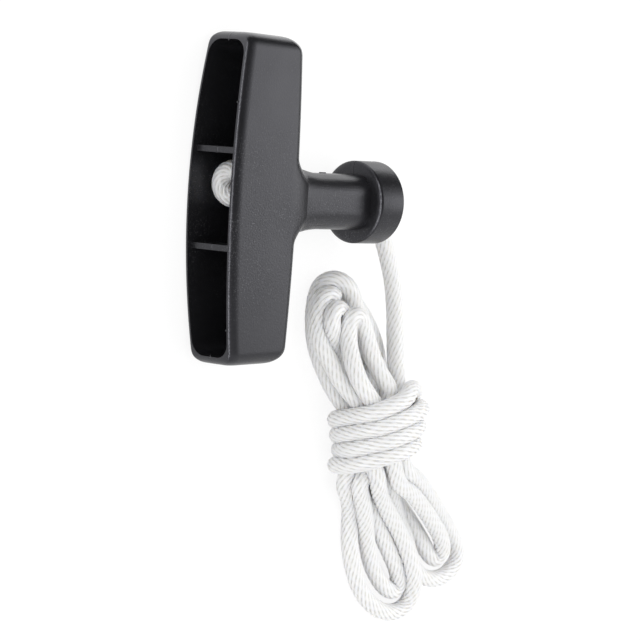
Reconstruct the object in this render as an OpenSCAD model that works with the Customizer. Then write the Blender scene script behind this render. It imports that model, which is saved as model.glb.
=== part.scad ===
// Recoil starter handle: a one-piece moulded T-grip, with the starter rope knotted inside it.
// The handle lies on its side, on the grip's wall and the flange, and the rope hank lies beside it.
// Handle frame: X runs along the stem from the grip's open front, Y along the grip, Z across it.

/* [Grip] */
// Length of the grip, end to end
grip_length = 105; // [90:1:125]
// Width of the grip at its middle
grip_width = 22.7; // [20:0.1:26]
// Width of the grip at its ends
grip_end_width = 19.5; // [17:0.1:20]
// Depth of the grip, from its open front to its flat back
grip_depth = 30.5; // [27:0.5:34]
// Thickness of the moulded walls
wall = 2.2; // [1.6:0.1:2.8]
// How far the open front curves back at the ends
front_crown = 4.8; // [0:0.1:7]
// Radius of the rounded outer edge round the open front
rim_edge_r = 2.5; // [1:0.1:3]
// Radius of the long edges at the back
back_edge_r = 5; // [3:0.1:6]
// Radius of the grip's corners, seen from the open front
end_corner_r = 5; // [3:0.1:6]
// Radius between the ends and the back
back_corner_r = 7; // [4:0.5:9]
// Draft of the two ends, in degrees
end_draft = 1.8; // [0:0.1:3]

/* [Ribs] */
// Distance of each rib from the middle of the grip
rib_offset = 15.4; // [13:0.1:20]
// Thickness of a rib
rib_thickness = 1.9; // [1.2:0.1:2.6]
// How far a rib's edge lies behind the open front
rib_setback = 1.9; // [0.5:0.1:4]

/* [Neck and stem] */
// How far the neck rises from the flat back
neck_rise = 6.1; // [4:0.1:8]
// Half length of the top of the neck
neck_top = 4.5; // [3:0.1:6]
// Half length of the foot of the neck
neck_foot = 14.6; // [12:0.1:18]
// Height of the stem's section, along the grip
stem_height = 18.2; // [16:0.1:20]
// Width of the stem's section, across the grip
stem_width = 17.2; // [15:0.1:18]
// Corner radius of the stem's section
stem_corner_r = 6.5; // [4:0.1:7]
// Length of the stem, from the flat back to the flange
stem_length = 35.1; // [30:0.1:45]
// Radius of the flare where the stem grows out of the neck
flare_r = 27; // [24:1:40]
// Length of the flare, from the flat back
flare_length = 16.5; // [12:0.5:20]

/* [Flange] */
// Diameter of the round flange
flange_d = 27.3; // [25:0.1:32]
// Thickness of the flange
flange_thickness = 11.2; // [9:0.1:14]
// Radius of the flange's edge on the grip's side
flange_edge_r = 2; // [1:0.1:3]
// Thickness of the flange's rim, round the recess
flange_rim = 2.5; // [2:0.1:3.5]
// Depth of the recess in the end face
recess_depth = 8; // [5:0.1:9]
// Radius of the corner at the bottom of the recess
recess_corner_r = 1.5; // [0.5:0.1:2.5]

/* [Rope] */
// Diameter of the rope
rope_d = 5.8; // [4:0.1:6]
// Diameter of the hole through the stem
bore_d = 7; // [6.6:0.1:8]
// Diameter of the hole's flared mouths
mouth_d = 11; // [9:0.1:12]
// Depth of the flare at each mouth
mouth_depth = 2.4; // [1.5:0.1:3]
// Diameter of the stopper knot
knot_d = 14.8; // [13:0.1:15.5]
// Distance of the knot's centre from the floor of the grip
knot_reach = 14.9; // [12:0.1:17]
// Height of the knot's centre above the stem's axis
knot_shift = 4.5; // [0:0.1:6]

/* [Hank] */
// Diameter of the tie round the middle of the hank
tie_d = 32; // [28:1:36]
// Width of the tie
tie_width = 28; // [20:1:32]
// Thickness of the loops where they lie flat
loop_thickness = 12; // [9:0.5:15]

/* [Hidden] */
$fn = 64;

half_length = grip_length / 2;
inner_half_length = half_length - wall;
floor_x = grip_depth - wall;
stem_end = grip_depth + stem_length;
flange_end = stem_end + flange_thickness;
flange_r = flange_d / 2;
recess_floor = flange_end - recess_depth;
neck_top_x = grip_depth + neck_rise;

// Facets of a rounded corner, and steps of the lofted faces
corner_steps = 4;
end_steps = 5;
plain_steps = 4;
neck_steps = 10;
hollow_steps = 2;
flare_steps = 8;

// Rest: the rim's edge and the flange's edge both touch the surface below
rest_dx = stem_end + flange_edge_r - rim_edge_r;
rest_dz = (flange_r - flange_edge_r) - (grip_width / 2 - rim_edge_r);
rest_angle = atan2(rest_dz, rest_dx) - asin((rim_edge_r - flange_edge_r) / norm([rest_dx, rest_dz]));
rest_tilt = max(0, rest_angle);
rest_low = rim_edge_r * sin(rest_tilt) - (grip_width / 2 - rim_edge_r) * cos(rest_tilt) - rim_edge_r;
rest_min_x = rim_edge_r * cos(rest_tilt) - (grip_width / 2 - rim_edge_r) * sin(rest_tilt) - rim_edge_r;
rest_max_x = flange_end * cos(rest_tilt) + flange_r * sin(rest_tilt);
rest_shift = [-(rest_min_x + rest_max_x) / 2, 0, -rest_low];

// Knot: it lies on the lower side wall of the middle compartment
knot_r = knot_d / 2;
knot_clearance = 0.1;
knot_centre = [
    floor_x - knot_reach,
    knot_shift,
    -(half_width(knot_shift) - wall - knot_r - knot_clearance)
];
knot_flat_r = rope_d / 2 + 0.6;
knot_flat = sqrt(knot_r * knot_r - knot_flat_r * knot_flat_r);
knot_axis = ([floor_x, 0, 0] - knot_centre) / norm([floor_x, 0, 0] - knot_centre);

// Rope: inside the handle, in the handle frame, and from there to the tie, where it lies
bore_route = [
    knot_centre + knot_axis * knot_flat,
    [24.5, 1, -0.4],
    [29, 0.2, -0.1],
    [34, 0, 0],
    [50, 0, 0],
    [64, 0, 0],
    [68.5, -0.4, 0],
    [72, -1.6, -0.1],
    [76, -4.3, -0.4],
    [80.5, -8.4, -0.9]
];
free_route = [
    [46.2, -13.2, 12.5],
    [51.8, -20.2, 10.6],
    [56.4, -28, 9.2],
    [58.9, -36.5, 8.6],
    [59.2, -45, 9.2],
    [58, -52.5, 11],
    [56, -58.5, 13.2],
    [55, -60.8, 14]
];
rope_sides = 10;
rings_per_span = 3;

// Hank: the tie's axis lies along Y, and the loops fan out from it onto the surface
tie_x = 45.5;
tie_top_y = -61;
tie_edge_r = 3;
upper_neck = [42, 13, 8];
lower_neck = [48, 13.5, 12];
upper_loops = [37, -41.5, 18];
left_loops = [66, -125, 20.5];
right_loops = [95, -118, 17];

// How far a round corner of radius r has cut in at a distance d from its end
function corner_inset(d, r) = d >= r ? 0 : r - sqrt(max(0, r * r - (r - d) * (r - d)));

// A smooth step from 0 at a to 1 at b
function ease(t) = t * t * (3 - 2 * t);
function smooth_step(v, a, b) = ease(min(1, max(0, (v - a) / (b - a))));

// Half the grip's width at height y, without its end corners
function half_width(y) = (grip_width - (grip_width - grip_end_width) * pow(y / half_length, 2)) / 2;

// The open front and the back of the grip at height y
function front_x(y) = front_crown * pow(y / half_length, 2);
function back_x(y) = grip_depth + neck_rise * (1 - smooth_step(abs(y), neck_top, neck_foot));

// Half height of the stem at x, with its flare
function stem_half(x) = stem_height / 2 + corner_inset(max(0, x - grip_depth + flare_r - flare_length), flare_r);

// Steps along one half of a lofted body: the neck, the plain stretch and the rounded end
function half_stations(half, end_r, mid, mid_steps) = concat(
    [for (i = [0:mid_steps]) mid * i / mid_steps],
    [for (i = [1:plain_steps]) mid + (half - end_r - mid) * i / plain_steps],
    [for (i = [1:end_steps]) half - end_r * (1 - sin(90 * i / end_steps))]
);
function both_halves(list) = concat(
    [for (i = [len(list) - 1:-1:1]) -list[i]],
    list
);

// Four rounded corners of a section, each as [centre u, centre v, radius, start angle]
function section_points(corners) = [
    for (c = corners)
        for (i = [0:corner_steps])
            [
                c[0] + c[2] * cos(c[3] + 90 * i / corner_steps),
                c[1] + c[2] * sin(c[3] + 90 * i / corner_steps)
            ]
];

// Section of the grip's outside at height y, as [x, z] points
function outer_section(y) = let (
    d = half_length - abs(y),
    b = half_width(y) - corner_inset(d, end_corner_r),
    f = front_x(y) + corner_inset(d, rim_edge_r),
    k = back_x(y) - corner_inset(d, back_corner_r),
    rf = min(rim_edge_r, b - 0.2),
    rk = min(back_edge_r, b - 0.1)
) section_points([
    [k - rk, b - rk, rk, 0],
    [f + rf, b - rf, rf, 90],
    [f + rf, rf - b, rf, 180],
    [k - rk, rk - b, rk, 270]
]);

// Section of the grip's hollow at height y, open well past the front
function inner_section(y) = let (
    d = inner_half_length - abs(y),
    b = half_width(y) - wall - corner_inset(d, end_corner_r - 2),
    k = floor_x - corner_inset(d, back_corner_r - wall),
    r = min(back_edge_r - wall, b - 0.1)
) section_points([
    [k - r, b - r, r, 0],
    [-wall, b - wall / 2, wall / 2, 90],
    [-wall, wall / 2 - b, wall / 2, 180],
    [k - r, r - b, r, 270]
]);

// Section of the stem at x, as [z, y] points
function stem_section(x) = let (
    h = stem_half(x),
    b = stem_width / 2,
    r = min(b - 0.2, stem_corner_r + (h - stem_height / 2))
) section_points([
    [b - r, h - r, r, 0],
    [r - b, h - r, r, 90],
    [r - b, r - h, r, 180],
    [b - r, r - h, r, 270]
]);

// Faces of a closed body lofted through rings of n points each
function loft_faces(rings, n) = concat(
    [[for (i = [n - 1:-1:0]) i]],
    [[for (i = [0:n - 1]) (rings - 1) * n + i]],
    [
        for (k = [0:rings - 2])
            for (i = [0:n - 1])
                each [
                    [k * n + i, k * n + (i + 1) % n, (k + 1) * n + (i + 1) % n],
                    [k * n + i, (k + 1) * n + (i + 1) % n, (k + 1) * n + i]
                ]
    ]
);

// Places a point of the handle frame as the handle rests
function at_rest_point(p) = rest_shift + [
    p[0] * cos(rest_tilt) - p[2] * sin(rest_tilt),
    p[1],
    p[0] * sin(rest_tilt) + p[2] * cos(rest_tilt)
];

// A smooth curve through the points, with the given number of steps in each span
function spline_point(a, b, c, d, t) =
    0.5 * (2 * b + (c - a) * t + (2 * a - 5 * b + 4 * c - d) * t * t + (3 * b - a - 3 * c + d) * t * t * t);
function smooth_route(p, steps) = let (last = len(p) - 1) concat(
    [
        for (i = [0:last - 1])
            for (j = [0:steps - 1])
                spline_point(p[max(0, i - 1)], p[i], p[i + 1], p[min(last, i + 2)], j / steps)
    ],
    [p[last]]
);
function unit(v) = v / norm(v);
function direction(p, i) = unit(p[min(len(p) - 1, i + 1)] - p[max(0, i - 1)]);
function tube_ring(centre, along, r, sides) = let (
    side = unit(cross(along, [0, 0, 1])),
    up = cross(side, along)
) [for (k = [0:sides - 1]) centre + r * (cos(360 * k / sides) * side + sin(360 * k / sides) * up)];

// A solid lofted along Y (the grip) or along X (the stem)
module loft_along_y(stations, rings) {
    slope = tan(end_draft) / half_length;
    draft_from = front_crown + rim_edge_r;
    points = [
        for (k = [0:len(stations) - 1])
            for (p = rings[k])
                [p[0], stations[k] * (1 - max(0, p[0] - draft_from) * slope), p[1]]
    ];
    polyhedron(points, loft_faces(len(stations), len(rings[0])), convexity = 4);
}

module loft_along_x(stations, rings) {
    points = [
        for (k = [0:len(stations) - 1])
            for (p = rings[k])
                [stations[k], p[1], p[0]]
    ];
    polyhedron(points, loft_faces(len(stations), len(rings[0])), convexity = 4);
}

module tube(route, r, sides) {
    points = [
        for (i = [0:len(route) - 1])
            each tube_ring(route[i], direction(route, i), r, sides)
    ];
    polyhedron(points, loft_faces(len(route), sides), convexity = 8);
}

module at_rest() translate(rest_shift) rotate([0, -rest_tilt, 0]) children();

module along_x(x) translate([x, 0, 0]) rotate([0, 90, 0]) children();

module grip_outside() {
    stations = both_halves(half_stations(half_length, back_corner_r, neck_foot, neck_steps));
    loft_along_y(stations, [for (y = stations) outer_section(y)]);
}

module grip_hollow() {
    end_r = back_corner_r - wall;
    stations = both_halves(half_stations(inner_half_length, end_r, neck_foot, hollow_steps));
    loft_along_y(stations, [for (y = stations) inner_section(y)]);
}

module stem() {
    start = floor_x + wall / 2;
    flare_end = grip_depth + flare_length;
    stations = concat(
        [for (i = [0:flare_steps]) start + (flare_end - start) * i / flare_steps],
        [stem_end + flange_edge_r]
    );
    loft_along_x(stations, [for (x = stations) stem_section(x)]);
}

module flange() {
    along_x(stem_end) rotate_extrude() {
        square([flange_r - flange_edge_r, flange_thickness]);
        translate([0, flange_edge_r]) square([flange_r, flange_thickness - flange_edge_r]);
        translate([flange_r - flange_edge_r, flange_edge_r]) intersection() {
            circle(flange_edge_r);
            translate([0, -flange_edge_r]) square(flange_edge_r);
        }
    }
}

module recess() {
    recess_r = flange_r - flange_rim;
    along_x(recess_floor) rotate_extrude() {
        square([recess_r - recess_corner_r, recess_depth + 1]);
        translate([0, recess_corner_r]) square([recess_r, recess_depth + 1 - recess_corner_r]);
        translate([recess_r - recess_corner_r, recess_corner_r]) intersection() {
            circle(recess_corner_r);
            translate([0, -recess_corner_r]) square(recess_corner_r);
        }
    }
}

module rope_hole() {
    along_x(floor_x - 1) cylinder(h = recess_floor - floor_x + 2, d = bore_d);
    along_x(floor_x) cylinder(h = mouth_depth, d1 = mouth_d, d2 = bore_d);
    along_x(recess_floor - mouth_depth) cylinder(h = mouth_depth, d1 = bore_d, d2 = mouth_d);
}

// A rib ends inside the walls, and its back corners follow the grip's
module rib(side) {
    edge = front_x(rib_offset) + rib_setback;
    half = half_width(rib_offset) - wall / 2;
    back = floor_x + wall / 2;
    corner = back_edge_r - wall / 2;
    translate([0, side * rib_offset + rib_thickness / 2, 0]) rotate([90, 0, 0]) linear_extrude(rib_thickness) {
        translate([edge, -half]) square([back - corner - edge, 2 * half]);
        translate([edge, corner - half]) square([back - edge, 2 * (half - corner)]);
        for (z = [corner - half, half - corner])
            translate([back - corner, z]) circle(corner);
    }
}

module handle() {
    color("#222325") at_rest() {
        difference() {
            union() {
                grip_outside();
                stem();
                flange();
            }
            grip_hollow();
            recess();
            rope_hole();
        }
        for (side = [-1, 1]) rib(side);
    }
}

module rope_knot() {
    turn = [0, acos(knot_axis[2]), atan2(knot_axis[1], knot_axis[0])];
    color("#dcdcda") at_rest() translate(knot_centre) rotate(turn) intersection() {
        sphere(knot_r);
        translate([0, 0, -knot_r]) cylinder(h = knot_r + knot_flat, r = knot_r + 1);
    }
}

module rope_lead() {
    inside = [for (p = bore_route) at_rest_point(p)];
    color("#efeee9") tube(smooth_route(concat(inside, free_route), rings_per_span), rope_d / 2, rope_sides);
}

// One flat bundle of loops with a full round edge
module loops_puck(place) {
    translate([place[0], place[1], loop_thickness / 2]) rotate_extrude($fn = 32)
        translate([place[2] - loop_thickness / 2, 0]) circle(loop_thickness / 2, $fn = 16);
}

// The round section in which the strands leave the tie
module strand_neck(place, y) {
    translate([place[0], y, place[1]]) rotate([90, 0, 0]) cylinder(h = 1, r = place[2], $fn = 32);
}

module tie() {
    r = tie_d / 2;
    translate([tie_x, tie_top_y, r]) rotate([90, 0, 0]) rotate_extrude() {
        square([r - tie_edge_r, tie_width]);
        translate([0, tie_edge_r]) square([r, tie_width - 2 * tie_edge_r]);
        for (end = [tie_edge_r, tie_width - tie_edge_r])
            translate([r - tie_edge_r, end]) intersection() {
                circle(tie_edge_r);
                translate([0, -tie_edge_r]) square([tie_edge_r, 2 * tie_edge_r]);
            }
    }
}

module rope_hank() {
    tie_low_y = tie_top_y - tie_width;
    color("#f2f1ed") {
        tie();
        hull() {
            strand_neck(upper_neck, tie_top_y + 0.5);
            loops_puck(upper_loops);
        }
        for (lobe = [left_loops, right_loops])
            hull() {
                strand_neck(lower_neck, tie_low_y + 0.5);
                loops_puck(lobe);
            }
    }
}

handle();
rope_knot();
rope_lead();
rope_hank();
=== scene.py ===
import math

import bmesh
import bpy
import numpy as np
from mathutils import Matrix, Vector


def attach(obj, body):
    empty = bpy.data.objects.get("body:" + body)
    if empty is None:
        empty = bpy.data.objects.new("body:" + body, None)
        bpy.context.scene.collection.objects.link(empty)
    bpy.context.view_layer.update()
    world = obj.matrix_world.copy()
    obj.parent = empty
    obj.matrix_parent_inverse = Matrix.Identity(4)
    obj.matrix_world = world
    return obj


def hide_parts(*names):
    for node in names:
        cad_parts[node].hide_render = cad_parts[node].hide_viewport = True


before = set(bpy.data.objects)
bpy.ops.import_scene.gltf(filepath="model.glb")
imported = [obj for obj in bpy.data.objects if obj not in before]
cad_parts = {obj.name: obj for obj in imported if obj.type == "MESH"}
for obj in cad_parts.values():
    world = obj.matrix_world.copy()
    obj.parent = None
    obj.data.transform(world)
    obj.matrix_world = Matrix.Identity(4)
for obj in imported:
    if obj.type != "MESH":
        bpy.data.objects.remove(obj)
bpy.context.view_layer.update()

MM = 0.001

# Handle, in millimetres, in its own frame: X along the stem, Y along the grip, Z across it
GRIP_LENGTH = 105.0
GRIP_WIDTH = 22.7
GRIP_END_WIDTH = 19.5
GRIP_DEPTH = 30.5
WALL = 2.2
FRONT_CROWN = 4.8
RIM_EDGE_R = 2.5
BACK_EDGE_R = 5.0
BACK_CORNER_R = 7.0
END_DRAFT = math.radians(1.8)
RIB_OFFSET = 15.4
RIB_THICKNESS = 1.9
RIB_SETBACK = 1.9
NECK_RISE = 6.1
NECK_TOP = 4.5
NECK_FOOT = 14.6
STEM_HEIGHT = 18.2
STEM_WIDTH = 17.2
STEM_CORNER_R = 6.5
STEM_LENGTH = 35.1
FLARE_R = 27.0
FLARE_LENGTH = 16.5
FLANGE_D = 27.3
FLANGE_THICKNESS = 11.2
FLANGE_EDGE_R = 2.0
FLANGE_RIM = 2.5
RECESS_DEPTH = 8.0
RECESS_CORNER_R = 1.5
BORE_D = 7.0
MOUTH_D = 11.0
MOUTH_DEPTH = 2.4

# Roundings as the photo shows them, which differ a little from the frame's
NECK_BLEND = 12.0
NECK_BLEND_DROP = 4.2
NECK_BLEND_FOOT = 15.0
INNER_END_R = 4.6
RIM_ROUND_DEEP = 3.6
RIM_ROUND_WIDE = 2.0
BACK_ROUND = 4.4
FLANGE_ROUND_DEEP = 1.1
FLANGE_ROUND_WIDE = 2.4
FLANGE_BEVEL = 0.4
END_ROUND = 4.2
BACK_CORNER_ROUND = 5.8
RIB_EDGE_R = 0.15
# A section's corners stay this much smaller than its half width
EDGE_SLACK = 0.2
CORNER_SLACK = 0.1
# Slack of a comparison between two places
TOUCH = 1e-6

# The hollow's section runs on through the open front to here
HOLLOW_FRONT = -9.0
HOLLOW_FRONT_R = 1.0

# Facets of round corners and turned bodies, and steps of the lofted bodies
CORNER_STEPS = 10
SMALL_CORNER_STEPS = 8
ROUND_SIDES = 128
BORE_SIDES = 64
STEM_STEPS = 26
OUTSIDE_STEPS = (26, 10, 14)
INSIDE_STEPS = (8, 10, 10)
# A turned body closes this near to its axis, and a cutting body runs this far past a face
NEAR_AXIS = 0.01
PAST = 1.0
# Points this near to each other, in metres, are joined
LOFT_WELD = 1e-7
HANDLE_WELD = 2e-6
# An edge that turns by more than this is shaded sharp
SHARP_ANGLE = math.radians(28)

HALF_LENGTH = GRIP_LENGTH / 2
FLANGE_R = FLANGE_D / 2
FLOOR_X = GRIP_DEPTH - WALL
STEM_END = GRIP_DEPTH + STEM_LENGTH
FLANGE_END = STEM_END + FLANGE_THICKNESS
RECESS_FLOOR = FLANGE_END - RECESS_DEPTH

# Small marks of the mould, each a wedge between two rectangles (size along X, size across)
# Flash on the rim, each burr at (x, y, which wall)
BURRS = [(1.7, 30.5, 1), (3.0, -41.0, 1), (0.2, 1.5, -1)]
BURR_REACH = 0.35
BURR_ROOT = 0.3
BURR_LEAN = 0.2
BURR_TIP = (0.5, 0.3)
BURR_FOOT = (0.9, 0.9)
# A nib and a nick at each end of the opening
NIB_BACK = 0.3
NIB_REACH = 0.8
NIB_ROOT = 0.3
NIB_LEAN = 0.7
NIB_TIP = (0.15, 0.1)
NIB_FOOT = (1.0, 0.6)
NICK_AHEAD = 1.0
NICK_DEPTH = 1.3
NICK_INNER = (1.4, 0.1)
NICK_OUTER = (1.4, 0.35)
# A nub on the stem
NUB_X = 51.0
NUB_HEIGHT = 0.35
NUB_ROOT = 1.0
NUB_TOP = (2.6, 0.5)
NUB_FOOT = (3.4, 0.9)
# A notch in the flange's edge
NOTCH_X = 74.8
NOTCH_Z = -0.9
NOTCH_DEPTH = 0.7
NOTCH_INNER = (0.8, 2.8)
NOTCH_OUTER = (2.8, 4.4)

# Rope
ROPE_D = 5.8
ROPE_R = ROPE_D / 2
KNOT_D = 14.8
KNOT_REACH = 14.9
KNOT_SHIFT = 4.5
KNOT_CLEARANCE = 0.1
KNOT_POINTS = 30
KNOT_START = 200.0
KNOT_SWEEP = 700.0
KNOT_DEPTH = 8.5
KNOT_AXIS = (-0.93, 0.05, 0.36)
# The coil's radius at its two ends, as a share, and how fast it grows from there
KNOT_TIP_SHARE = 0.35
KNOT_TIP_GROWTH = 4.0
KNOT_STEM_SHARE = 0.45
KNOT_STEM_GROWTH = 5.0
# Spacing of the mesh's rings along the rope, how deep its braid is, and how thick it is on the knot
FREE_RING_GAP = 0.57
FREE_RELIEF = 0.85
KNOT_RING_GAP = 0.5
KNOT_THICKNESS = 1.05
KNOT_RELIEF = 2.2
# Steps of a smooth line in each span
ROUTE_STEPS = 8
BRAID_STEPS = 6

# Rope route in the handle's frame: from the knot into the stem, and on out of the flange
STEM_ROUTE = [
    (24.5, 1, -0.4),
    (29, 0.2, -0.1),
    (34, 0, 0),
    (50, 0, 0),
]
BORE_ROUTE = [
    (50, 0, 0),
    (64, 0, 0),
    (68.5, -0.4, 0),
    (72, -1.6, -0.1),
    (76, -4.3, -0.4),
    (80.5, -8.4, -0.9),
]
# The free stretch down to the tie, in the part's frame
FREE_ROUTE = [
    (46.2, -13.2, 12.5),
    (51.8, -20.2, 10.6),
    (56.4, -28, 9.2),
    (58.9, -36.5, 8.6),
    (59.2, -45, 9.2),
    (58, -52.5, 11),
    (56, -58.5, 13.2),
    (55, -60.8, 14),
]
# The hank's loops, each from one side of the tie round and back to it
RIGHT_LOOP = [
    (53, -89, 21), (63, -93, 18), (75, -99, 14), (87, -106, 9.5), (97.5, -112.5, 5.5), (105, -118, 3.2),
    (108.5, -122.5, 2.9), (109.5, -125.5, 2.9), (107.5, -129, 2.9), (103.5, -132, 2.9), (98, -133, 2.9),
    (92.5, -132.5, 2.9), (87, -130.5, 2.9), (83.5, -126.5, 2.9), (81, -121, 3), (76.5, -114, 4.2),
    (69.5, -108, 6.5), (62.5, -102, 9.5), (55, -96, 13), (50, -92, 15),
]
TOP_LEFT_LOOP = [
    (37, -69.5, 17), (33, -65.5, 16), (29.5, -62, 14), (26.5, -57, 12), (24.5, -51.5, 10.5),
    (22.5, -46.5, 9.5), (20.5, -41, 9), (19.5, -36, 8.7), (19.5, -32, 9.2), (22.5, -30, 9),
    (28, -29.5, 7), (36, -30.5, 4.5), (42, -33, 3.2), (46.5, -36.5, 2.9), (51, -41, 2.9),
    (54.5, -45.5, 2.9), (57, -51, 3.2), (58, -56, 5), (57, -61.5, 8.5), (55.5, -66, 12),
]
INNER_LEFT_LOOP = [
    (39, -92, 14), (44, -98, 11.5), (48.5, -104.5, 9.5), (54, -111.5, 6), (58.5, -119, 3.5),
    (62, -125.5, 2.9), (66.5, -131, 2.9), (72, -135.5, 2.9), (76.5, -136, 3), (77, -132.5, 3.6),
    (74.5, -128, 4.4), (70, -123, 5), (65.5, -117.5, 5.5), (61, -112, 6), (55.5, -105.5, 7),
    (50.5, -99.5, 8), (45.5, -93.5, 9.5),
]
TOP_INNER_LOOP = [
    (38.5, -70, 13), (35.5, -66, 11.5), (33, -61, 10), (31, -55.5, 8.5), (28, -50.5, 8.7),
    (23.5, -44.5, 10.5), (20, -38.5, 13), (21, -35, 14), (25, -35, 13), (31, -37.5, 10),
    (39.5, -42.5, 6), (45.5, -49, 3.5), (49.5, -54.5, 3.2), (50.5, -60, 5.5), (50.5, -65, 8),
]
INNER_RIGHT_LOOP = [
    (54.5, -93, 10), (61.5, -98.5, 8), (71, -104.5, 5), (79.5, -110.5, 3.5), (85.5, -115.5, 2.9),
    (90, -120.5, 2.9), (93, -124.5, 2.9), (96.5, -127, 3.2), (98.5, -125.5, 4.2), (97.5, -122, 5.5),
    (93.5, -117.5, 7.5), (86.5, -112.5, 10), (78.5, -107, 12.5), (69, -101, 15.5), (58, -95, 19),
    (50, -90.5, 21),
]
TOP_FRONT_LOOP = [
    (35.5, -68, 22), (31.5, -63, 21.5), (28.5, -58, 20), (28, -52, 17.5), (28, -46.5, 15),
    (27.5, -41, 14.5), (27, -37.5, 15.5), (29, -36, 16), (33, -37.5, 15.5), (36, -42, 15),
    (37.5, -47, 16), (38.5, -53, 18), (40.5, -58.5, 20.5), (43.5, -65, 22),
]
LEFT_LOOP = [
    (38, -93, 9), (42.5, -98.5, 6.5), (48, -104.5, 4), (49, -111.5, 2.9), (49.5, -118, 2.9),
    (52, -125, 2.9), (56, -132.5, 2.9), (61.5, -138, 2.9), (67.5, -141.5, 2.9), (74, -143, 2.9),
    (80, -142, 3.2), (82, -138, 5), (79.5, -131, 7.5), (77, -125.5, 8.7), (74, -121, 8.7),
    (69.5, -115, 9), (64, -109, 10), (57.5, -103.5, 12), (49.5, -97.5, 15), (42.5, -91.5, 18),
]
TOP_OUTER_LOOP = [
    (37, -69, 10), (33, -65, 8), (31, -59, 5), (28, -53, 3), (25, -47, 3), (24, -41, 3), (24, -35, 3),
    (25, -30, 4.5), (26, -27, 6.5), (28, -26, 7.5), (31, -28, 8.2), (35, -31, 8.7), (37, -35, 8.7),
    (41, -40, 8.7), (44, -46, 8.7), (46, -51, 9),
    (65, -65, 9), (65.5, -66, 12.5), (62, -64, 17), (56, -62, 21.5), (49.5, -61.5, 25.5),
    (44.5, -62.5, 28.3),
]

# Tie: its axis lies along Y
TIE_X = 45.5
TIE_Z = 16.0
WRAP_RADII = [13.4, 14.2, 13.5, 12.4]
WRAP_TOP_Y = -62.0
WRAP_PITCH = 6.0
WRAP_START = 48.0
WRAP_DIPS = [8.5, 8.0, 7.0, 5.5]
WRAP_FIRST = 2
WRAP_END = 0.6
WRAP_POINTS = 16

# Camera: a long lens, looking down on the part as the photograph does
CAMERA_EYE = Vector((-0.70806, 0.02985, 0.64644))
CAMERA_VIEW = Vector((0.7506, -0.0714, -0.6569))
CAMERA_UP = Vector((0.0136, 0.9956, -0.0927))
CAMERA_LENS = 165.43


def set_camera():
    data = bpy.data.cameras.new("camera")
    data.lens = CAMERA_LENS
    data.sensor_width = 36
    data.clip_start = 0.05
    data.clip_end = 20
    camera = bpy.data.objects.new("camera", data)
    bpy.context.collection.objects.link(camera)
    back = -CAMERA_VIEW.normalized()
    right = CAMERA_UP.cross(back).normalized()
    up = back.cross(right)
    turn = Matrix((right, up, back)).transposed().to_4x4()
    camera.matrix_world = Matrix.Translation(CAMERA_EYE) @ turn
    bpy.context.scene.camera = camera


# The handle's rest: the rim's edge and the flange's edge both touch the floor
REST_DX = STEM_END + FLANGE_EDGE_R - RIM_EDGE_R
REST_DZ = (FLANGE_R - FLANGE_EDGE_R) - (GRIP_WIDTH / 2 - RIM_EDGE_R)
REST_SPAN = math.hypot(REST_DX, REST_DZ)
REST_TILT = math.atan2(REST_DZ, REST_DX) - math.asin((RIM_EDGE_R - FLANGE_EDGE_R) / REST_SPAN)
REST_SIN = math.sin(REST_TILT)
REST_COS = math.cos(REST_TILT)
RIM_CENTRE_Z = GRIP_WIDTH / 2 - RIM_EDGE_R
REST_LOW = RIM_EDGE_R * REST_SIN - RIM_CENTRE_Z * REST_COS - RIM_EDGE_R
REST_MIN_X = RIM_EDGE_R * REST_COS - RIM_CENTRE_Z * REST_SIN - RIM_EDGE_R
REST_MAX_X = FLANGE_END * REST_COS + FLANGE_R * REST_SIN
REST_SHIFT = np.array([-(REST_MIN_X + REST_MAX_X) / 2, 0, -REST_LOW])


def at_rest(points):
    """Points of the handle's frame, as the handle rests, in millimetres."""
    p = np.asarray(points, float)
    x = p[:, 0] * REST_COS - p[:, 2] * REST_SIN
    z = p[:, 0] * REST_SIN + p[:, 2] * REST_COS
    return np.stack([x, p[:, 1], z], 1) + REST_SHIFT


def new_object(name, points, faces):
    """A mesh object from points in millimetres."""
    mesh = bpy.data.meshes.new(name)
    mesh.from_pydata((np.asarray(points) * MM).tolist(), [], faces)
    mesh.update()
    mesh.shade_smooth()
    piece = bpy.data.objects.new(name, mesh)
    bpy.context.collection.objects.link(piece)
    return piece


# Handle
def corner_inset(d, r):
    """How far a round corner of radius r has cut in at a distance d from its end."""
    return 0.0 if d >= r else r - math.sqrt(max(0.0, r * r - (r - d) ** 2))


def smooth_step(v, a, b):
    t = min(1.0, max(0.0, (v - a) / (b - a)))
    return t * t * (3 - 2 * t)


def half_width(y):
    return (GRIP_WIDTH - (GRIP_WIDTH - GRIP_END_WIDTH) * (y / HALF_LENGTH) ** 2) / 2


def front_x(y):
    return FRONT_CROWN * (y / HALF_LENGTH) ** 2


def back_x(y):
    return GRIP_DEPTH + NECK_RISE * (1 - smooth_step(abs(y), NECK_TOP, NECK_FOOT))


def stem_half(x):
    return STEM_HEIGHT / 2 + corner_inset(max(0.0, x - GRIP_DEPTH + FLARE_R - FLARE_LENGTH), FLARE_R)


def section(corners, steps):
    """A closed outline of four round corners, each (centre u, centre v, radius, start in quarters)."""
    points = []
    for u, v, r, quarter in corners:
        for i in range(steps + 1):
            a = math.pi / 2 * (quarter + i / steps)
            points.append((u + r * math.cos(a), v + r * math.sin(a)))
    return points


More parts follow.
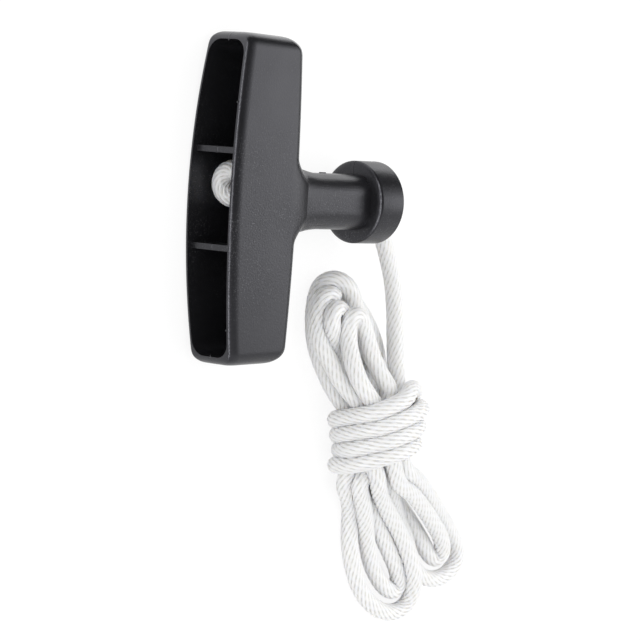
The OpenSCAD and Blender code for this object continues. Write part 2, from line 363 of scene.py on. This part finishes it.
def outer_section(y, steps):
    """Section of the grip's outside at height y, with its neck blended in and its rim rounded."""
    d = HALF_LENGTH - abs(y)
    b = half_width(y) - corner_inset(d, END_ROUND)
    f = front_x(y) + corner_inset(d, RIM_EDGE_R)
    k = back_x(y) - corner_inset(d, BACK_CORNER_ROUND)
    rf = min(RIM_EDGE_R, b - EDGE_SLACK)
    rk = min(BACK_ROUND, b - CORNER_SLACK)
    corners = [
        (k - rk, b - rk, rk, 0),
        (f + rf, b - rf, rf, 1),
        (f + rf, rf - b, rf, 2),
        (k - rk, rk - b, rk, 3),
    ]
    share = 1 - smooth_step(abs(y), NECK_TOP, NECK_BLEND_FOOT)
    reach = 1 + (NECK_BLEND / rk - 1) * share
    drop = 1 + (NECK_BLEND_DROP / rk - 1) * share
    outline = []
    for x, z in section(corners, steps):
        if x > k - rk - TOUCH:
            x = k - (k - x) * reach
            z = math.copysign(b - (b - abs(z)) * drop, z)
        elif x < f + rf + TOUCH:
            x = f + (x - f) * RIM_ROUND_DEEP / RIM_EDGE_R
            z = math.copysign(b - (b - abs(z)) * RIM_ROUND_WIDE / RIM_EDGE_R, z)
        outline.append((x, z))
    return outline


def inner_section(y, steps):
    """Section of the grip's hollow at height y, open well past the front."""
    d = HALF_LENGTH - WALL - abs(y)
    b = half_width(y) - WALL - corner_inset(d, INNER_END_R)
    k = FLOOR_X - corner_inset(d, BACK_CORNER_R - WALL)
    r = min(BACK_EDGE_R - WALL, b - CORNER_SLACK)
    corners = [
        (k - r, b - r, r, 0),
        (HOLLOW_FRONT, b - HOLLOW_FRONT_R, HOLLOW_FRONT_R, 1),
        (HOLLOW_FRONT, HOLLOW_FRONT_R - b, HOLLOW_FRONT_R, 2),
        (k - r, r - b, r, 3),
    ]
    return section(corners, steps)


def stem_section(x, steps):
    h = stem_half(x)
    b = STEM_WIDTH / 2
    r = min(b - EDGE_SLACK, STEM_CORNER_R + (h - STEM_HEIGHT / 2))
    corners = [(b - r, h - r, r, 0), (r - b, h - r, r, 1), (r - b, r - h, r, 2), (b - r, r - h, r, 3)]
    return section(corners, steps)


def loft(name, rings):
    """A closed body through rings of points."""
    n = len(rings[0])
    points = [p for ring in rings for p in ring]
    last = len(points) - n
    faces = [list(range(n)), list(range(last, last + n))[::-1]]
    for k in range(len(rings) - 1):
        for i in range(n):
            j = (i + 1) % n
            faces.append([k * n + j, k * n + i, (k + 1) * n + i, (k + 1) * n + j])
    piece = new_object(name, points, faces)
    bm = bmesh.new()
    bm.from_mesh(piece.data)
    bmesh.ops.remove_doubles(bm, verts=bm.verts, dist=LOFT_WELD)
    bmesh.ops.recalc_face_normals(bm, faces=bm.faces)
    bm.to_mesh(piece.data)
    bm.free()
    return piece


def half_stations(half, end_r, middle, plain, ends):
    """Heights of a lofted body's sections: close at the neck, wider, and close at the round ends."""
    steps = [NECK_FOOT * i / middle for i in range(middle + 1)]
    steps += [NECK_FOOT + (half - end_r - NECK_FOOT) * i / plain for i in range(1, plain + 1)]
    steps += [half - end_r * (1 - math.sin(math.pi / 2 * i / ends)) for i in range(1, ends + 1)]
    return [-s for s in steps[:0:-1]] + steps


def drafted(y, outline):
    """A section at height y, moved inwards towards the back by the draft of the ends."""
    slope = math.tan(END_DRAFT) / HALF_LENGTH
    start = FRONT_CROWN + RIM_EDGE_R
    return [(x, y * (1 - max(0.0, x - start) * slope), z) for x, z in outline]


def lathe(name, profile, sides=ROUND_SIDES):
    """A body turned about X from (x, radius) points."""
    rings = []
    for x, r in profile:
        turn = [2 * math.pi * i / sides for i in range(sides)]
        rings.append([(x, r * math.cos(a), r * math.sin(a)) for a in turn])
    return loft(name, rings)


def round_corner(x, r, radius, start):
    """Points of a quarter round about (x, r)."""
    steps = SMALL_CORNER_STEPS
    turn = [math.pi / 2 * (start + i / steps) for i in range(steps + 1)]
    return [(x + radius * math.cos(a), r + radius * math.sin(a)) for a in turn]


def boolean(target, tool, operation):
    """Joins tool to target or cuts it out, and deletes the tool."""
    change = target.modifiers.new(operation, "BOOLEAN")
    change.operation = operation
    change.solver = "EXACT"
    change.object = tool
    evaluated = target.evaluated_get(bpy.context.evaluated_depsgraph_get())
    mesh = bpy.data.meshes.new_from_object(evaluated)
    target.modifiers.clear()
    target.data = mesh
    bpy.data.objects.remove(tool, do_unlink=True)


def make_stem():
    start = FLOOR_X + WALL / 2
    length = GRIP_DEPTH + FLARE_LENGTH - start
    stations = [start + length * i / STEM_STEPS for i in range(STEM_STEPS + 1)]
    stations.append(STEM_END + FLANGE_EDGE_R)
    return loft("stem", [[(x, v, u) for u, v in stem_section(x, CORNER_STEPS)] for x in stations])


def make_flange():
    profile = [(STEM_END, NEAR_AXIS)]
    for x, r in round_corner(1, 0, 1, 1)[::-1]:
        profile.append((STEM_END + x * FLANGE_ROUND_DEEP, FLANGE_R + (r - 1) * FLANGE_ROUND_WIDE))
    profile += [(FLANGE_END - FLANGE_BEVEL, FLANGE_R), (FLANGE_END, FLANGE_R - FLANGE_BEVEL)]
    profile.append((FLANGE_END, NEAR_AXIS))
    return lathe("flange", profile)


def make_recess():
    recess_r = FLANGE_R - FLANGE_RIM
    corner_x = RECESS_FLOOR + RECESS_CORNER_R
    profile = [(RECESS_FLOOR, NEAR_AXIS)]
    profile += round_corner(corner_x, recess_r - RECESS_CORNER_R, RECESS_CORNER_R, 1)[::-1]
    profile += [(FLANGE_END + PAST, recess_r), (FLANGE_END + PAST, NEAR_AXIS)]
    return lathe("recess", profile)


def make_bore():
    profile = [(FLOOR_X - PAST, NEAR_AXIS), (FLOOR_X - PAST, MOUTH_D / 2), (FLOOR_X, MOUTH_D / 2)]
    profile += [(FLOOR_X + MOUTH_DEPTH, BORE_D / 2), (RECESS_FLOOR - MOUTH_DEPTH, BORE_D / 2)]
    profile += [(RECESS_FLOOR, MOUTH_D / 2), (RECESS_FLOOR + PAST, MOUTH_D / 2)]
    profile.append((RECESS_FLOOR + PAST, NEAR_AXIS))
    return lathe("bore", profile, BORE_SIDES)


def add_mould_marks(handle):
    """The nibs, nicks, burrs, nub and notch that the mould left."""
    for side in (-1, 1):
        y = side * (HALF_LENGTH - WALL)
        x = FRONT_CROWN - NIB_BACK
        tip = (x, y - side * NIB_REACH, 0)
        foot = (x + NIB_LEAN, y + side * NIB_ROOT, 0)
        boolean(handle, wedge(tip, NIB_TIP, foot, NIB_FOOT), "UNION")
        inner = (x - NICK_AHEAD, y, 0)
        outer = (x - NICK_AHEAD, y + side * NICK_DEPTH, 0)
        boolean(handle, wedge(inner, NICK_INNER, outer, NICK_OUTER), "DIFFERENCE")
    for x, y, side in BURRS:
        z = side * (half_width(y) - WALL)
        tip = (x, y, z - side * BURR_REACH)
        foot = (x + BURR_LEAN, y, z + side * BURR_ROOT)
        boolean(handle, wedge(tip, BURR_TIP, foot, BURR_FOOT), "UNION")
    nub = stem_half(NUB_X) + NUB_HEIGHT
    boolean(handle, wedge((NUB_X, nub, 0), NUB_TOP, (NUB_X, nub - NUB_ROOT, 0), NUB_FOOT), "UNION")
    inner = (NOTCH_X, FLANGE_R - NOTCH_DEPTH, NOTCH_Z)
    outer = (NOTCH_X, FLANGE_R + PAST, NOTCH_Z)
    boolean(handle, wedge(inner, NOTCH_INNER, outer, NOTCH_OUTER), "DIFFERENCE")


def make_handle():
    outside = half_stations(HALF_LENGTH, BACK_CORNER_ROUND, *OUTSIDE_STEPS)
    handle = loft("handle_skin", [drafted(y, outer_section(y, CORNER_STEPS)) for y in outside])
    boolean(handle, make_stem(), "UNION")
    boolean(handle, make_flange(), "UNION")
    inside = half_stations(HALF_LENGTH - WALL, BACK_CORNER_R - WALL, *INSIDE_STEPS)
    hollow = loft("hollow", [drafted(y, inner_section(y, SMALL_CORNER_STEPS)) for y in inside])
    boolean(handle, hollow, "DIFFERENCE")
    boolean(handle, make_recess(), "DIFFERENCE")
    boolean(handle, make_bore(), "DIFFERENCE")
    for side in (-1, 1):
        boolean(handle, make_rib(side), "UNION")
    add_mould_marks(handle)
    finish_handle(handle)
    return handle


def wedge(start, start_size, end, end_size):
    """A small block along Y or Z, from one rectangle (its centre, and size in X and across) to another."""
    across = 2 if abs(end[1] - start[1]) > 0 else 1
    rings = []
    for centre, size in ((start, start_size), (end, end_size)):
        ring = []
        for a, b in ((-1, -1), (1, -1), (1, 1), (-1, 1)):
            corner = list(centre)
            corner[0] += a * size[0] / 2
            corner[across] += b * size[1] / 2
            ring.append(tuple(corner))
        rings.append(ring)
    return loft("wedge", rings)


def make_rib(side):
    """A rib between the walls, its back corners inside the grip's own."""
    edge = front_x(RIB_OFFSET) + RIB_SETBACK
    half = half_width(RIB_OFFSET) - WALL / 2
    back = FLOOR_X + WALL / 2
    r = BACK_EDGE_R - WALL / 2
    e = RIB_EDGE_R
    corners = [
        (back - r, half - r, r, 0),
        (edge + e, half - e, e, 1),
        (edge + e, e - half, e, 2),
        (back - r, r - half, r, 3),
    ]
    outline = section(corners, SMALL_CORNER_STEPS)
    rings = []
    for y in (side * RIB_OFFSET - RIB_THICKNESS / 2, side * RIB_OFFSET + RIB_THICKNESS / 2):
        rings.append([(x, y, z) for x, z in outline])
    return loft("rib", rings)


def finish_handle(handle):
    """Lays the handle at rest, and makes its edges sharp only where they are."""
    mesh = handle.data
    count = len(mesh.vertices)
    flat = np.empty(count * 3)
    mesh.vertices.foreach_get("co", flat)
    placed = at_rest(flat.reshape(-1, 3) / MM) * MM
    mesh.vertices.foreach_set("co", placed.ravel())
    bm = bmesh.new()
    bm.from_mesh(mesh)
    bmesh.ops.remove_doubles(bm, verts=bm.verts, dist=HANDLE_WELD)
    bmesh.ops.dissolve_degenerate(bm, edges=bm.edges, dist=HANDLE_WELD)
    for face in bm.faces:
        face.smooth = True
    for edge in bm.edges:
        edge.smooth = len(edge.link_faces) == 2 and edge.calc_face_angle(0) < SHARP_ANGLE
    bm.to_mesh(mesh)
    bm.free()
    mesh.update()


# Rope
def spline(points, steps):
    """A smooth curve through the points, with the same number of steps in each span."""
    p = np.asarray(points, float)
    p = np.vstack([2 * p[0] - p[1], p, 2 * p[-1] - p[-2]])
    t = np.linspace(0, 1, steps, endpoint=False)[:, None]
    spans = []
    for a, b, c, d in zip(p[:-3], p[1:-2], p[2:-1], p[3:]):
        second = 2 * a - 5 * b + 4 * c - d
        third = 3 * b - a - 3 * c + d
        spans.append(0.5 * (2 * b + (c - a) * t + second * t ** 2 + third * t ** 3))
    return np.vstack(spans + [p[-2:-1]])


def evenly(points, gap):
    """The same line with points at equal distances."""
    step = np.linalg.norm(np.diff(points, axis=0), axis=1)
    along = np.concatenate([[0], np.cumsum(step)])
    count = max(2, round(along[-1] / gap) + 1)
    at = np.linspace(0, along[-1], count)
    return np.stack([np.interp(at, along, points[:, k]) for k in range(3)], 1)


def wraps():
    """The turns of the rope's own end round the hank."""
    points = []
    for turn, dip in enumerate(WRAP_DIPS):
        for i in range(WRAP_POINTS):
            part = i / WRAP_POINTS
            if turn == len(WRAP_DIPS) - 1 and part > WRAP_END:
                break
            a = math.radians(WRAP_START + 360 * part)
            y = WRAP_TOP_Y - WRAP_PITCH * (turn + part)
            y -= dip * math.sin(math.pi * part) ** 2
            next_r = WRAP_RADII[min(turn + 1, len(WRAP_DIPS) - 1)]
            r = WRAP_RADII[turn] + (next_r - WRAP_RADII[turn]) * part
            points.append((TIE_X + r * math.cos(a), y, TIE_Z + r * math.sin(a)))
    return points[WRAP_FIRST:]


# Strands nearer than this, axis to axis, are pushed apart, but stay pressed where many meet
STRAND_GAP = ROPE_D * 0.94
SETTLE_ROUNDS = 160
# Points of the line that are fewer steps apart than this are one strand
SAME_STRAND = 4
# What one round does: presses strands apart, evens out bends and kinks, and leads back to the route
PRESS_SHARE = 0.25
LONGEST_PUSH = 0.8
BEND_SHARE = 0.06
KINK_SHARE = 0.22
RETURN_SHARE = 0.05


def settle(points, held):
    """Pushes apart strands that lie in each other, and keeps the line above the floor."""
    rest = points.copy()
    p = points.copy()
    count = len(p)
    index = np.arange(count)
    apart = np.abs(index[:, None] - index[None, :]) >= SAME_STRAND
    free = (index >= held)[:, None]
    for _ in range(SETTLE_ROUNDS):
        gap = p[:, None, :] - p[None, :, :]
        far = np.sqrt((gap ** 2).sum(2)) + 1e-9
        press = np.where(apart & (far < STRAND_GAP), (STRAND_GAP - far) * PRESS_SHARE, 0)
        push = (gap / far[:, :, None] * press[:, :, None]).sum(1)
        bend = np.zeros_like(p)
        bend[1:-1] = (p[:-2] + p[2:]) / 2 - p[1:-1]
        kink = np.zeros_like(p)
        kink[1:-1] = (bend[:-2] + bend[2:]) / 2 - bend[1:-1]
        push = np.clip(push, -LONGEST_PUSH, LONGEST_PUSH)
        p = p + free * (push + BEND_SHARE * bend - KINK_SHARE * kink + RETURN_SHARE * (rest - p))
        p[:, 2] = np.maximum(p[:, 2], ROPE_R)
    return p


def rope_line():
    """The free rope's centreline, from inside the stem to its end in the tie."""
    lead = [tuple(p) for p in at_rest(BORE_ROUTE)] + FREE_ROUTE
    loops = RIGHT_LOOP + TOP_LEFT_LOOP + INNER_LEFT_LOOP + TOP_INNER_LOOP
    loops += INNER_RIGHT_LOOP + TOP_FRONT_LOOP + LEFT_LOOP + TOP_OUTER_LOOP
    line = evenly(spline(lead + loops + wraps(), ROUTE_STEPS), ROPE_R)
    lead_length = np.linalg.norm(np.diff(spline(lead, ROUTE_STEPS), axis=0), axis=1).sum()
    return settle(line, int(lead_length / ROPE_R))


# Braid: columns of stitches that wind round the rope, each a ridge between two valleys
LAY_ANGLE = math.radians(26)
RIDGES = 12
RIDGE_SIDES = 3
STITCH = 3.0
STITCH_SHIFT = 0.5
SEAL_LENGTH = 1.8
SEAL_TAPER = 0.6
# Its relief, as shares of the rope's radius
CREST_LEVEL = 1.02
VALLEY_DEPTH = 0.09
SLIT_DEPTH = 0.06
SLIT_WIDTH = 0.2
SWELL_HEIGHT = 0.012


def unit_rows(v):
    return v / np.linalg.norm(v, axis=1)[:, None]


def braid(name, line, ring_gap, thickness=1.0, relief=1.0):
    """A braided rope along a line in millimetres, its columns of stitches winding round it."""
    centre = evenly(spline(line, BRAID_STEPS), ring_gap)
    along = unit_rows(np.gradient(centre, axis=0))
    side = np.zeros_like(centre)
    first = np.cross(along[0], (0, 0, 1.0))
    side[0] = first / np.linalg.norm(first)
    for i in range(1, len(centre)):
        s = side[i - 1] - along[i] * np.dot(side[i - 1], along[i])
        side[i] = s / np.linalg.norm(s)
    up = np.cross(along, side)
    count = len(centre)
    sides = RIDGES * RIDGE_SIDES
    run = np.arange(count) * ring_gap
    column = np.arange(sides)
    turn = 2 * np.pi * column[None, :] / sides + (run * math.tan(LAY_ANGLE) / ROPE_R)[:, None]
    valley = (column % RIDGE_SIDES == 0) * 1.0
    phase = (run[:, None] / STITCH + STITCH_SHIFT * (column // RIDGE_SIDES)[None, :]) % 1
    slit = np.exp(-((phase - 0.5) / SLIT_WIDTH) ** 2)
    swell = np.cos(2 * np.pi * (phase - 0.5))
    crest = 1 - valley[None, :]
    sunk = relief * (1 - crest) * (VALLEY_DEPTH + SLIT_DEPTH * slit)
    radius = ROPE_R * thickness * (CREST_LEVEL - sunk + SWELL_HEIGHT * crest * swell)
    to_end = np.arange(count)[::-1] * ring_gap
    radius *= np.sqrt(1 - SEAL_TAPER * np.clip(1 - to_end / SEAL_LENGTH, 0, 1) ** 2)[:, None]
    points = centre[:, None, :] + radius[:, :, None] * (
        np.cos(turn)[:, :, None] * side[:, None, :] + np.sin(turn)[:, :, None] * up[:, None, :]
    )
    points = points.reshape(-1, 3)
    faces = []
    for i in range(count - 1):
        for k in range(sides):
            j = (k + 1) % sides
            faces.append((i * sides + k, (i + 1) * sides + k, (i + 1) * sides + j, i * sides + j))
    faces.append(tuple(range(sides)))
    last = (count - 1) * sides
    faces.append(tuple(last + k for k in reversed(range(sides))))
    piece = new_object(name, points, faces)
    uv = piece.data.uv_layers.new(name="stitches")
    values = np.zeros((len(piece.data.loops), 2))
    quad = np.array([(0, 0), (0, 1), (1, 1), (1, 0)])
    quads = (count - 1) * sides
    start = np.stack([np.tile(column, count - 1), np.repeat(np.arange(count - 1), sides)], 1)
    values[: quads * 4] = (start[:, None, :] + quad[None, :, :]).reshape(-1, 2)
    values[:, 0] /= RIDGE_SIDES
    values[:, 1] *= ring_gap / STITCH
    uv.data.foreach_set("uv", values.ravel())
    return piece, centre


def knot_line():
    """A coil that looks like the drawn-up stopper knot, and the stretch into the stem."""
    middle = np.array([
        FLOOR_X - KNOT_REACH,
        KNOT_SHIFT,
        -(half_width(KNOT_SHIFT) - WALL - KNOT_D / 2 - KNOT_CLEARANCE),
    ])
    out = np.array(KNOT_AXIS)
    out /= np.linalg.norm(out)
    side = np.cross(out, (0, 1.0, 0))
    side /= np.linalg.norm(side)
    up = np.cross(side, out)
    turn_r = KNOT_D / 2 - ROPE_R
    turns = []
    for i in range(KNOT_POINTS):
        part = i / (KNOT_POINTS - 1)
        a = math.radians(KNOT_START - KNOT_SWEEP * part)
        from_tip = KNOT_TIP_SHARE + KNOT_TIP_GROWTH * part
        from_stem = KNOT_STEM_SHARE + KNOT_STEM_GROWTH * (1 - part)
        reach = turn_r * min(1.0, from_tip, from_stem)
        depth = KNOT_DEPTH * (0.5 - part)
        turns.append(middle + reach * (math.cos(a) * side + math.sin(a) * up) + depth * out)
    return at_rest(turns + STEM_ROUTE)


# Colours
BLACK = (0.011, 0.011, 0.0125)
SPECK_BLACK = (0.085, 0.085, 0.09)
ROPE_WHITE = (0.98, 0.98, 0.985)
# Painted shade, with a cream tint, for the rope's grooves and slits
ROPE_SLIT_SHADE = (0.82, 0.815, 0.785)
FLOOR_GREY = (0.86, 0.86, 0.86)


# Materials
def material(name, colour, roughness):
    made = bpy.data.materials.new(name)
    made.use_nodes = True
    shader = made.node_tree.nodes["Principled BSDF"]
    shader.inputs["Base Color"].default_value = (*colour, 1)
    shader.inputs["Roughness"].default_value = roughness
    return made, made.node_tree, shader


def add(tree, kind, **settings):
    node = tree.nodes.new(kind)
    for key, value in settings.items():
        setattr(node, key, value)
    return node


def noise_node(tree, where, scale, detail=3.0):
    node = add(tree, "ShaderNodeTexNoise")
    node.inputs["Scale"].default_value = scale
    node.inputs["Detail"].default_value = detail
    tree.links.new(where, node.inputs["Vector"])
    return node.outputs["Fac"]


def remap(tree, value, low, high, out_low, out_high):
    node = add(tree, "ShaderNodeMapRange")
    tree.links.new(value, node.inputs["Value"])
    for key, number in (("From Min", low), ("From Max", high), ("To Min", out_low), ("To Max", out_high)):
        node.inputs[key].default_value = number
    return node.outputs["Result"]


def bump(tree, shader, height, distance, strength):
    node = add(tree, "ShaderNodeBump")
    node.inputs["Distance"].default_value = distance
    node.inputs["Strength"].default_value = strength
    tree.links.new(height, node.inputs["Height"])
    tree.links.new(node.outputs["Normal"], shader.inputs["Normal"])


def math_node(tree, operation, *inputs):
    node = add(tree, "ShaderNodeMath", operation=operation)
    for socket, value in zip(node.inputs, inputs):
        if isinstance(value, (int, float)):
            socket.default_value = value
        else:
            tree.links.new(value, socket)
    return node.outputs[0]


def mix_colours(tree, share, low, high):
    node = add(tree, "ShaderNodeMix", data_type="RGBA")
    tree.links.new(share, node.inputs["Factor"])
    node.inputs["A"].default_value = (*low, 1)
    node.inputs["B"].default_value = (*high, 1)
    return node.outputs["Result"]


# Marks on the plastic, in metres and in noise cells per metre
SPECK_PATCH_PLACE = (-0.004, -0.008, 0.021)
SPECK_PATCH_INNER = 0.003
SPECK_PATCH_OUTER = 0.013
NECK_Y = -0.006
NECK_INNER = 0.008
NECK_OUTER = 0.034
GRAIN_SCALE = 1700
SPECK_SCALE = 2300
PATCH_SCALE = 60
SEAM_INNER = 0.00005
SEAM_OUTER = 0.00022
# Heights of the bumps, in metres
PLASTIC_BUMP = 0.0001
ROPE_BUMP = 0.00028


def plastic_material():
    """Black moulded plastic: fine grain, a parting line, and light specks about the neck."""
    made, tree, shader = material("black_plastic", BLACK, 0.36)
    place = add(tree, "ShaderNodeTexCoord").outputs["Object"]
    split = add(tree, "ShaderNodeSeparateXYZ")
    tree.links.new(place, split.inputs[0])
    grain = noise_node(tree, place, GRAIN_SCALE)
    patches = noise_node(tree, place, PATCH_SCALE)
    tree.links.new(remap(tree, patches, 0.3, 0.7, 0.28, 0.35), shader.inputs["Roughness"])
    shader.inputs["Specular Tint"].default_value = (0.91, 0.91, 1.0, 1)
    middle = math_node(tree, "ABSOLUTE", math_node(tree, "ADD", split.outputs[1], -NECK_Y))
    near = remap(tree, middle, NECK_INNER, NECK_OUTER, 1, 0.3)
    # Lighter specks in the base colour, most about the neck and in a patch there; the same places get a
    # coarser grain bump
    specks = remap(tree, noise_node(tree, place, SPECK_SCALE, 1), 0.6, 0.72, 0, 1)
    near_specks = math_node(tree, "MULTIPLY", specks, near)
    speck_share = math_node(tree, "MULTIPLY", near_specks, remap(tree, patches, 0.4, 0.6, 0.2, 1))
    reach = add(tree, "ShaderNodeVectorMath", operation="DISTANCE")
    tree.links.new(place, reach.inputs[0])
    reach.inputs[1].default_value = SPECK_PATCH_PLACE
    speck_patch = remap(tree, reach.outputs["Value"], SPECK_PATCH_INNER, SPECK_PATCH_OUTER, 1, 0)
    speck_share = math_node(tree, "MAXIMUM", speck_share, math_node(tree, "MULTIPLY", specks, speck_patch))
    tree.links.new(mix_colours(tree, speck_share, BLACK, SPECK_BLACK), shader.inputs["Base Color"])
    off = add(tree, "ShaderNodeVectorMath", operation="DOT_PRODUCT")
    tree.links.new(place, off.inputs[0])
    off.inputs[1].default_value = (-REST_SIN, 0, REST_COS)
    shift = (REST_SHIFT[2] * REST_COS - REST_SHIFT[0] * REST_SIN) * MM
    seam = math_node(tree, "ABSOLUTE", math_node(tree, "SUBTRACT", off.outputs["Value"], float(shift)))
    line = remap(tree, seam, SEAM_INNER, SEAM_OUTER, 1.2, 0)
    patch_grain = math_node(tree, "MULTIPLY", speck_patch, 1.5)
    rough = math_node(tree, "ADD", math_node(tree, "ADD", near, 0.2), patch_grain)
    height = math_node(tree, "ADD", math_node(tree, "MULTIPLY", grain, rough), line)
    bump(tree, shader, height, PLASTIC_BUMP, 0.7)
    return made


def rope_material():
    """White braided nylon: fine fibres along each stitch, and a creamy painted shade in the grooves and
    slits.
    """
    made, tree, shader = material("white_rope", (0.9, 0.9, 0.89), 0.38)
    where = add(tree, "ShaderNodeUVMap", uv_map="stitches").outputs["UV"]
    split = add(tree, "ShaderNodeSeparateXYZ")
    tree.links.new(where, split.inputs[0])
    column, row = split.outputs[0], split.outputs[1]
    valley = math_node(tree, "FLOOR", math_node(tree, "ADD", column, 0.5))
    off = math_node(tree, "ABSOLUTE", math_node(tree, "SUBTRACT", column, valley))
    shifted = math_node(tree, "ADD", row, math_node(tree, "MULTIPLY", valley, STITCH_SHIFT))
    phase = math_node(tree, "ABSOLUTE", math_node(tree, "SUBTRACT", math_node(tree, "FRACT", shifted), 0.5))
    groove = remap(tree, off, 0.0, 0.3, 1, 0)
    across = remap(tree, off, 0.04, 0.24, 1, 0)
    slit = math_node(tree, "MULTIPLY", across, remap(tree, phase, 0.18, 0.42, 1, 0))
    # Painted shade: the grooves between ridges a little darker, the slits darker still
    painted_slit_shade = math_node(tree, "MAXIMUM", math_node(tree, "MULTIPLY", groove, 0.35), slit)
    tree.links.new(mix_colours(tree, painted_slit_shade, ROPE_WHITE, ROPE_SLIT_SHADE), shader.inputs["Base Color"])
    stretch = add(tree, "ShaderNodeMapping")
    stretch.inputs["Scale"].default_value = (7.0, 0.9, 1.0)
    tree.links.new(where, stretch.inputs["Vector"])
    fibres = noise_node(tree, stretch.outputs["Vector"], 1.6)
    middle = math_node(tree, "SUBTRACT", 0.5, off)
    squared = math_node(tree, "MULTIPLY", middle, middle)
    ridge = math_node(tree, "SUBTRACT", 1, math_node(tree, "MULTIPLY", squared, 4))
    height = math_node(tree, "ADD", math_node(tree, "MULTIPLY", fibres, 0.3), ridge)
    height = math_node(tree, "SUBTRACT", height, math_node(tree, "MULTIPLY", slit, 0.6))
    shader.inputs["Subsurface Weight"].default_value = 0.6
    shader.inputs["Subsurface Radius"].default_value = (1.0, 0.95, 0.85)
    shader.inputs["Subsurface Scale"].default_value = 0.0018
    bump(tree, shader, height, ROPE_BUMP, 0.8)
    return made


def light_paths(tree):
    """Camera rays, camera or mirrored or clear rays, and mirrored or clear rays, each as 0 or 1."""
    path = add(tree, "ShaderNodeLightPath")
    bent = math_node(tree, "MAXIMUM", path.outputs["Is Glossy Ray"], path.outputs["Is Transmission Ray"])
    straight = path.outputs["Is Camera Ray"]
    return straight, math_node(tree, "MAXIMUM", straight, bent), bent


BRIGHT_SIDE = Vector((0.73, 0.02, 0.68))
SKY_LEVEL = 1.05
FLOOR_HALF = 1.6
FLOOR_GLOW = 0.87
FLOOR_GLINT = 1.1
FLOOR_SHADOW = (0.17, 0.17, 0.17)


def set_world():
    """An even studio, which a surface mirrors bright on the far side and towards -Y, else dark."""
    world = bpy.data.worlds.new("studio")
    bpy.context.scene.world = world
    world.use_nodes = True
    tree = world.node_tree
    sky = tree.nodes["Background"]
    sky.inputs["Color"].default_value = (1, 1, 1, 1)
    towards = add(tree, "ShaderNodeVectorMath", operation="DOT_PRODUCT")
    tree.links.new(add(tree, "ShaderNodeTexCoord").outputs["Generated"], towards.inputs[0])
    towards.inputs[1].default_value = BRIGHT_SIDE
    split = add(tree, "ShaderNodeSeparateXYZ")
    tree.links.new(add(tree, "ShaderNodeTexCoord").outputs["Generated"], split.inputs[0])
    mirrored = math_node(
        tree,
        "MAXIMUM",
        math_node(
            tree,
            "MULTIPLY",
            remap(tree, towards.outputs["Value"], 0.84, 0.95, 0.05, 1.22),
            remap(tree, split.outputs[1], -0.25, 0.05, 0.78, 1.2),
        ),
        remap(tree, split.outputs[1], -0.45, -0.05, 0.95, 0.0),
    )
    straight, _, bent = light_paths(tree)
    lit = add(tree, "ShaderNodeMix")
    tree.links.new(bent, lit.inputs["Factor"])
    lit.inputs["A"].default_value = SKY_LEVEL
    tree.links.new(mirrored, lit.inputs["B"])
    tree.links.new(math_node(tree, "MAXIMUM", lit.outputs["Result"], straight), sky.inputs["Strength"])


def set_floor():
    half = FLOOR_HALF / MM
    corners = [(x * half, y * half, 0) for x, y in ((-1, -1), (1, -1), (1, 1), (-1, 1))]
    floor = new_object("floor", corners, [(0, 1, 2, 3)])
    made, tree, shader = material("floor", FLOOR_GREY, 0.9)
    shader.inputs["Specular IOR Level"].default_value = 0.0
    _, shown_white, bent = light_paths(tree)
    place = add(tree, "ShaderNodeSeparateXYZ")
    tree.links.new(add(tree, "ShaderNodeTexCoord").outputs["Object"], place.inputs[0])
    glint = remap(tree, place.outputs[1], 0.03, 0.08, 0, FLOOR_GLINT)
    top_side = math_node(tree, "MULTIPLY", glint, bent)
    glow = add(tree, "ShaderNodeEmission")
    tree.links.new(math_node(tree, "ADD", top_side, FLOOR_GLOW), glow.inputs["Strength"])
    pale = add(tree, "ShaderNodeBsdfDiffuse")
    pale.inputs["Color"].default_value = (*FLOOR_SHADOW, 1)
    both = add(tree, "ShaderNodeAddShader")
    tree.links.new(glow.outputs["Emission"], both.inputs[0])
    tree.links.new(pale.outputs["BSDF"], both.inputs[1])
    shown = add(tree, "ShaderNodeMixShader")
    tree.links.new(shown_white, shown.inputs["Fac"])
    tree.links.new(shader.outputs["BSDF"], shown.inputs[1])
    tree.links.new(both.outputs["Shader"], shown.inputs[2])
    tree.links.new(shown.outputs["Shader"], tree.nodes["Material Output"].inputs["Surface"])
    floor.data.materials.append(made)


def add_softbox(name, place, target, size, power):
    data = bpy.data.lights.new(name, "AREA")
    data.shape = "RECTANGLE"
    data.size, data.size_y = size
    data.energy = power
    lamp = bpy.data.objects.new(name, data)
    bpy.context.collection.objects.link(lamp)
    lamp.location = place
    lamp.rotation_mode = "QUATERNION"
    lamp.rotation_quaternion = (Vector(target) - Vector(place)).to_track_quat("-Z", "Y")
    return lamp


def set_lights():
    add_softbox("softbox_above", (0.35, 0.25, 0.95), (0.0, -0.03, 0), (0.7, 0.7), 0.7)
    add_softbox("softbox_far", (0.80, 0.02, 0.72), (0.0, -0.01, 0), (0.5, 0.5), 1.0)
    # Diffuse rays don't see this one, which draws the light line along the grip's rim
    glint = add_softbox("softbox_left", (-0.55, -0.05, 0.12), (0.0, 0, 0.01), (1.0, 0.1), 4.0)
    glint.visible_diffuse = False


bpy.context.scene.view_settings.view_transform = "Standard"
set_camera()

line = rope_line()
free_rope, free_path = braid("free_rope", line, FREE_RING_GAP, relief=FREE_RELIEF)
knot, _ = braid("stopper_knot", knot_line(), KNOT_RING_GAP, KNOT_THICKNESS, KNOT_RELIEF)
rope_look = rope_material()
for piece in (free_rope, knot):
    piece.data.materials.append(rope_look)
    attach(piece, "root")
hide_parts("rope_lead", "rope_hank")
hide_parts("rope_knot")

handle = make_handle()
handle.data.materials.append(plastic_material())
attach(handle, "root")
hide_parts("handle")

set_world()
set_floor()
set_lights()
